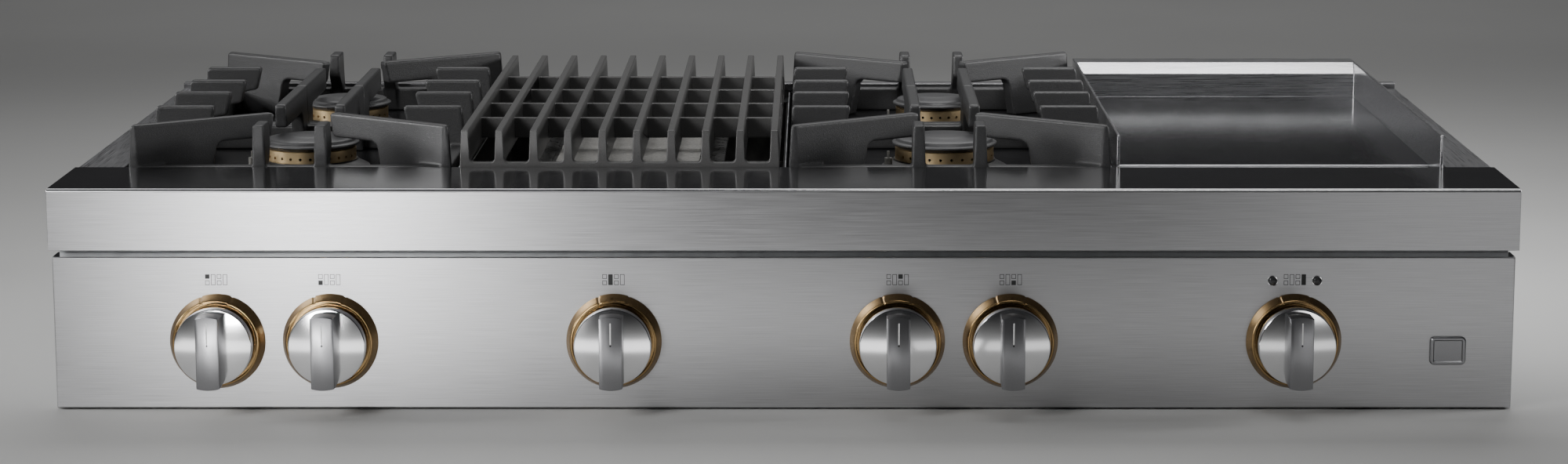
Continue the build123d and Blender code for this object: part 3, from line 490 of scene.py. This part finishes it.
def about_burner(centre):
    """Places for a lathe turned about a burner's upright axis."""
    return lambda radius, angle, depth: (
        centre.x + radius * cos(angle),
        centre.y + radius * sin(angle),
        depth,
    )


def port_cutter(centre, radius, height):
    """Thin rods pointing out from the burner's axis through its ring."""
    rods = bmesh.new()
    for port in range(PORTS):
        angle = 2 * pi * (port + 0.5) / PORTS
        out = Vector((cos(angle), sin(angle), 0.0))
        across = Vector((-sin(angle), cos(angle), 0.0))
        ends = []
        for reach in (radius - RING_WALL - PORT_SPARE, radius + PORT_SPARE):
            hub = Vector((centre.x, centre.y, height)) + out * reach
            ends.append(
                [
                    hub + PORT_R * (across * cos(a) + Vector((0, 0, 1)) * sin(a))
                    for a in [2 * pi * i / PORT_SIDES for i in range(PORT_SIDES)]
                ]
            )
        loft(rods, ends)
    return rods


def burner(tag):
    """The polished port ring and the stepped enamelled cap of one burner."""
    low, high = limits("burner_cap_" + tag)
    centre = (low + high) / 2
    radius = (high.x - low.x) / 2
    ring_low, ring_high = limits("burner_ring_" + tag)
    ring_r = radius - RING_INSET
    z0, z1 = ring_low.z, ring_high.z
    outline = [
        (ring_r - RING_WALL, z0),
        (ring_r - RING_FOOT_ROUND, z0),
        (ring_r, z0 + RING_FOOT_ROUND),
        (ring_r, z1 - RING_TOP_ROUND),
        (ring_r - RING_TOP_ROUND, z1),
        (ring_r - RING_WALL, z1),
    ]
    ring = bmesh.new()
    lathe(ring, outline, about_burner(centre), 140)
    piece = shown("port_ring_" + tag, ring, brass, "chassis", ("burner_ring_" + tag,), 30.0)
    carve(piece, port_cutter(centre, ring_r, PORT_Z))
    cap_outline = [(AXIS_R, low.z)]
    cap_outline += [(radius - inset, low.z + height) for inset, height in CAP_STEPS]
    cap_outline += [(radius - CAP_TOP_INSET, high.z), (AXIS_R, high.z)]
    cap = bmesh.new()
    lathe(cap, cap_outline, about_burner(centre), 96)
    shown("cap_" + tag, cap, cap_enamel, "chassis", ("burner_cap_" + tag,), 50.0)


for tag in ("left_front", "left_rear", "right_front", "right_rear"):
    burner(tag)

# Knobs

panel_y = limits("control_panel")[0].y
dial_low, dial_high = limits("knob_dial_1")
DIAL_R = (dial_high.x - dial_low.x) / 2
dial_face = dial_low.y
KNOB_Z = middle("knob_dial_1").z
knob_x = [middle(f"knob_dial_{number}").x for number in KNOBS]


def about_front_axis(x, z):
    """Places for a lathe turned about a level axis that runs front to back. Angle 0 points up."""
    return lambda radius, angle, depth: (x + radius * sin(angle), depth, z + radius * cos(angle))


BEZEL_R = 39.7
BEZEL_BORE = 34.2
BEZEL_DEPTH = 11.0
NOTCH_ANGLE = radians(19.0)
NOTCH_HALF = radians(1.4)
NOTCH_DEPTH = 0.5
SEGMENT_RISE = 0.35
NOTCH_START_R = BEZEL_BORE + 0.2
# The ring from the panel over its crest into the bore, as (radius, height over the panel)
BEZEL_STEPS = (
    (12.0, 0.0),
    (BEZEL_R, 0.0),
    (BEZEL_R, 1.2),
    (BEZEL_R - 0.4, 2.0),
    (37.9, 6.0),
    (36.3, 9.8),
    (35.9, 10.6),
    (35.3, BEZEL_DEPTH),
    (34.7, BEZEL_DEPTH),
    (34.3, 10.6),
    (BEZEL_BORE, 10.0),
    (BEZEL_BORE, 1.0),
    (12.0, 1.0),
)


def bezel_notches(angle, radius, depth):
    """A raised segment at the top of the ring with a notch at each end of it."""
    turn = abs((angle + pi) % (2 * pi) - pi)
    if radius < NOTCH_START_R:
        return 0.0
    if abs(turn - NOTCH_ANGLE) < NOTCH_HALF:
        return -NOTCH_DEPTH
    return SEGMENT_RISE if turn < NOTCH_ANGLE else 0.0


bezel_outline = [(radius, panel_y - height) for radius, height in BEZEL_STEPS]
rings = bmesh.new()
for x in knob_x:
    lathe(rings, bezel_outline, about_front_axis(x, KNOB_Z), 256, bezel_notches)
shown("bezel_rings", rings, bronze, "chassis", ("knob_bezels",), 40.0)

DOME_SLOPE = radians(6.0)
dome_radius = DIAL_R / sin(DOME_SLOPE)
dome_rise = dome_radius * (1 - cos(DOME_SLOPE))
dial_back = dial_high.y


def dome(radius):
    """How far the dial's face stands forward at a radius."""
    return dome_rise - (dome_radius - sqrt(dome_radius ** 2 - radius ** 2))


DIAL_BORE_R = 4.08
DIAL_BORE_INSET = 2.0
DIAL_EDGE = 0.8
DIAL_HUB_R = 9.0
DIAL_WALL = 2.0
DIAL_WEB = 6.0
FACE_RADII = (0.0, 3.0, 7.0, 11.0, 15.0, 19.0, 23.0, 27.0, 30.0, DIAL_R - DIAL_EDGE)
dial_outline = [(max(r, AXIS_R), dial_face - dome(r) + DIAL_EDGE) for r in FACE_RADII]
dial_outline += [
    (DIAL_R - 0.25, dial_face + 1.1),
    (DIAL_R, dial_face + 1.7),
    (DIAL_R, dial_back),
    (DIAL_R - DIAL_WALL, dial_back),
    (DIAL_R - DIAL_WALL, dial_face + DIAL_WEB),
    (DIAL_HUB_R, dial_face + DIAL_WEB),
    (DIAL_HUB_R, dial_back),
    (DIAL_BORE_R, dial_back),
    (DIAL_BORE_R, dial_face + DIAL_BORE_INSET),
    (AXIS_R, dial_face + DIAL_BORE_INSET),
]

HANDLE_WIDTH = 19.0
HANDLE_REACH = 30.7
HANDLE_ROOT_REACH = 29.6
handle_front = limits("knob_handle_1")[0].y
HANDLE_BEVEL = 0.6
HANDLE_ROOT = 2.0
ARC_STEPS = 10
BEVEL_PART = 0.3 * HANDLE_BEVEL


def handle_ring(x, depth, reach, half):
    """A bar's cross-section whose ends are arcs about the knob axis."""
    arc = [half * (2 * i / ARC_STEPS - 1) for i in range(ARC_STEPS + 1)]
    upper = [(x + a, depth, KNOB_Z + sqrt(reach ** 2 - a ** 2)) for a in arc]
    lower = [(x + a, depth, KNOB_Z - sqrt(reach ** 2 - a ** 2)) for a in reversed(arc)]
    return upper + lower


MARK_TOP = 25.8
MARK_BOTTOM = 8.0
MARK_HALF = 0.55
MARK_DEPTH = 0.3
MARK_RISE = 0.08
DOT_R = 0.8
DOT_Z = 6.8
DOT_SIDES = 16
mark_y = (handle_front - MARK_RISE, handle_front + MARK_DEPTH)

for number, x in enumerate(knob_x, start=1):
    body = f"knob_{number}"
    disc = bmesh.new()
    lathe(disc, dial_outline, about_front_axis(x, KNOB_Z), 128)
    shown(f"dial_{number}", disc, chrome, body, (f"knob_dial_{number}",), 25.0)

    bar = bmesh.new()
    half = HANDLE_WIDTH / 2
    stations = [
        (dial_face + HANDLE_ROOT, HANDLE_ROOT_REACH, half),
        (handle_front + HANDLE_BEVEL, HANDLE_REACH, half),
        (handle_front + BEVEL_PART, HANDLE_REACH - BEVEL_PART, half - BEVEL_PART),
        (handle_front, HANDLE_REACH - HANDLE_BEVEL, half - HANDLE_BEVEL),
    ]
    loft(bar, [handle_ring(x, *station) for station in stations])
    stands_for = (f"knob_handle_{number}",)
    shown(f"handle_{number}", bar, satin, body, stands_for, 30.0)

    mark = bmesh.new()
    mark_z = (KNOB_Z + MARK_BOTTOM, KNOB_Z + MARK_TOP)
    block(mark, (x - MARK_HALF, x + MARK_HALF), mark_y, mark_z)
    shown(f"handle_mark_{number}", mark, mark_white, body)

    dot = bmesh.new()
    turns = [2 * pi * i / DOT_SIDES for i in range(DOT_SIDES)]
    spots = [(x + DOT_R * cos(a), KNOB_Z + DOT_Z + DOT_R * sin(a)) for a in turns]
    loft(dot, [[(spot_x, depth, spot_z) for spot_x, spot_z in spots] for depth in mark_y])
    shown(f"handle_dot_{number}", dot, print_ink, body)

# Printed position marks and indicator lights

CELL = 3.7
CELL_PITCH = 4.9
MARK_HEIGHT = 9.1
LINE = 0.45
PRINT = 0.06
PRINT_ROOT = 0.05
ICON_Z = 110.0
SQUARE_GAP = 1.5
SQUARE = (MARK_HEIGHT - SQUARE_GAP) / 2


def frame_cell(shape, left, bottom, width, height, filled):
    """A printed rectangle, drawn as an outline or solid."""
    y = (panel_y - PRINT, panel_y + PRINT_ROOT)
    right, top = left + width, bottom + height
    if filled:
        block(shape, (left, right), y, (bottom, top))
        return
    block(shape, (left, right), y, (bottom, bottom + LINE))
    block(shape, (left, right), y, (top - LINE, top))
    block(shape, (left, left + LINE), y, (bottom + LINE, top - LINE))
    block(shape, (right - LINE, right), y, (bottom + LINE, top - LINE))


# The cell that is solid above each knob, as (column, row)
SOLID_CELLS = [(0, 1), (0, 0), (1, 0), (2, 1), (2, 0), (3, 0)]
icons = bmesh.new()
for x, solid in zip(knob_x, SOLID_CELLS):
    left = x - (3 * CELL_PITCH + CELL) / 2
    bottom = ICON_Z - MARK_HEIGHT / 2
    for column in range(4):
        start = left + column * CELL_PITCH
        if column % 2:
            frame_cell(icons, start, bottom, CELL, MARK_HEIGHT, solid[0] == column)
        else:
            for row in (0, 1):
                low = bottom + row * (MARK_HEIGHT - SQUARE)
                frame_cell(icons, start, low, CELL, SQUARE, solid == (column, row))
shown("position_marks", icons, print_ink, "chassis")

lens_low, lens_high = limits("indicator_lenses")
LENS_R = (lens_high.z - lens_low.z) / 2
lens_z = (lens_low.z + lens_high.z) / 2
lens_x = (lens_low.x + LENS_R, lens_high.x - LENS_R)
# The lens and the collar about it, as (radius, depth behind the panel's face)
LENS_STEPS = ((AXIS_R, -1.9), (1.6, -1.75), (2.7, -1.3), (3.4, -0.6), (3.5, 2.0), (AXIS_R, 2.0))
COLLAR_STEPS = (
    (3.55, 1.5),
    (3.55, -0.5),
    (3.8, -0.8),
    (4.2, -0.75),
    (LENS_R, -0.3),
    (LENS_R, 0.0),
    (4.0, 0.0),
    (4.0, 1.5),
)
lens_outline = [(radius, panel_y + depth) for radius, depth in LENS_STEPS]
collar_outline = [(radius, panel_y + depth) for radius, depth in COLLAR_STEPS]
lenses = bmesh.new()
collars = bmesh.new()
for x in lens_x:
    lathe(lenses, lens_outline, about_front_axis(x, lens_z), 40)
    lathe(collars, collar_outline, about_front_axis(x, lens_z), 40)
shown("lens_domes", lenses, smoked, "chassis", ("indicator_lenses",), 40.0)
shown("lens_collars", collars, chrome, "chassis", (), 40.0)

# A plain badge

BADGE_X = (538.0, 568.0)
BADGE_Z = (38.0, 62.0)
BADGE_CORNER = 4.0
BADGE_LEAST_CORNER = 0.5
BADGE_CORNER_STEPS = 6
# The badge's layers from its root forward, as (distance in from the edge, height over the panel)
BADGE_STEPS = ((0.0, -0.3), (0.0, 1.6), (0.5, 2.6), (1.2, 3.0), (2.6, 3.0), (3.2, 2.4), (3.6, 1.9))


def badge_outline(inset, rise):
    """A rectangle with rounded corners, drawn inside the badge's edge."""
    points = []
    radius = BADGE_CORNER - min(inset, BADGE_CORNER - BADGE_LEAST_CORNER)
    left, right = BADGE_X[0] + inset + radius, BADGE_X[1] - inset - radius
    bottom, top = BADGE_Z[0] + inset + radius, BADGE_Z[1] - inset - radius
    for quarter, (cx, cz) in enumerate(((right, top), (left, top), (left, bottom), (right, bottom))):
        for i in range(BADGE_CORNER_STEPS + 1):
            angle = (quarter + i / BADGE_CORNER_STEPS) * pi / 2
            points.append((cx + radius * cos(angle), panel_y - rise, cz + radius * sin(angle)))
    return points


badge = bmesh.new()
loft(badge, [badge_outline(*step) for step in BADGE_STEPS])
shown("badge", badge, satin, "chassis", (), 20.0)

# Floor, light and camera. These are in metres.

FLOOR_SIZE = 40.0
FLOOR_GAP = 0.0005


def floor():
    """A wide pale floor under the object."""
    bpy.ops.mesh.primitive_plane_add(size=FLOOR_SIZE, location=(0.0, 0.0, -FLOOR_GAP))
    ground = bpy.context.object
    ground.name = "floor"
    pale = mottled("floor_pale", (0.62, 0.62, 0.61), 0.6, 0.4, 0.0, 0.0, 0.02)
    ground.data.materials.append(pale)


def softbox(name, place, aim, size, power, spread=180.0):
    """A rectangular light at a place, facing the point it aims at."""
    light = bpy.data.lights.new(name, "AREA")
    light.shape = "RECTANGLE"
    light.size, light.size_y = size
    light.energy = power
    light.spread = radians(spread)
    lamp = bpy.data.objects.new(name, light)
    bpy.context.scene.collection.objects.link(lamp)
    lamp.location = place
    lamp.rotation_euler = (Vector(aim) - Vector(place)).to_track_quat("-Z", "Y").to_euler()
    return lamp


floor()
# The two low glow lights and the strips on the floor make the bright and dark parts on the steel
softbox("key_light", (-1.2, -1.7, 1.1), (0.0, 0.05, 0.2), (0.6, 0.6), power=2.0, spread=50.0)
softbox("glow_light", (-0.53, -1.35, 0.07), (-0.4, -0.33, 0.1), (0.16, 0.1), power=0.3, spread=60.0)
softbox("far_glow_light", (0.82, -1.5, 0.08), (0.55, -0.33, 0.1), (0.5, 0.12), power=0.05, spread=60.0)
softbox("top_light", (0.0, 1.2, 1.9), (0.0, 0.3, 0.2), (2.6, 1.0), power=9.0, spread=100.0)
softbox("griddle_light", (0.42, -0.6, 1.5), (0.42, 0.25, 0.2), (0.8, 0.4), power=1.6, spread=50.0)
softbox("back_light", (0.0, 3.0, 2.4), (0.0, 2.6, 0.0), (4.0, 2.0), power=12.0, spread=120.0)
softbox("left_light", (-2.0, -0.3, 0.7), (0.0, 0.1, 0.2), (0.7, 0.5), power=3.0, spread=60.0)
softbox("right_light", (2.0, 0.1, 0.7), (0.3, 0.1, 0.2), (0.7, 0.5), power=3.0, spread=60.0)
left_strip = softbox("left_strip", (-0.25, -0.65, 0.004), (-0.25, -0.65, 1.0), (0.75, 0.15), power=0.6)
right_strip = softbox("right_strip", (0.5, -0.65, 0.004), (0.5, -0.65, 1.0), (0.72, 0.12), power=0.24)
left_strip.visible_camera = False
right_strip.visible_camera = False

WORLD_COLOUR = (0.02, 0.02, 0.021, 1.0)
world = bpy.data.worlds.new("studio")
world.use_nodes = True
world.node_tree.nodes["Background"].inputs["Color"].default_value = WORLD_COLOUR
bpy.context.scene.world = world

CAMERA_PLACE = (0.0262, -3.282, 0.6543)
CAMERA_PITCH = radians(9.675)
CAMERA_LENS = 83.1
CAMERA_SHIFT = -0.02
CAMERA_SENSOR = 36.0
lens = bpy.data.cameras.new("camera")
lens.lens = CAMERA_LENS
lens.sensor_width = CAMERA_SENSOR
lens.shift_x = CAMERA_SHIFT
camera = bpy.data.objects.new("camera", lens)
bpy.context.scene.collection.objects.link(camera)
camera.location = CAMERA_PLACE
camera.rotation_euler = (pi / 2 - CAMERA_PITCH, 0.0, 0.0)
bpy.context.scene.camera = camera
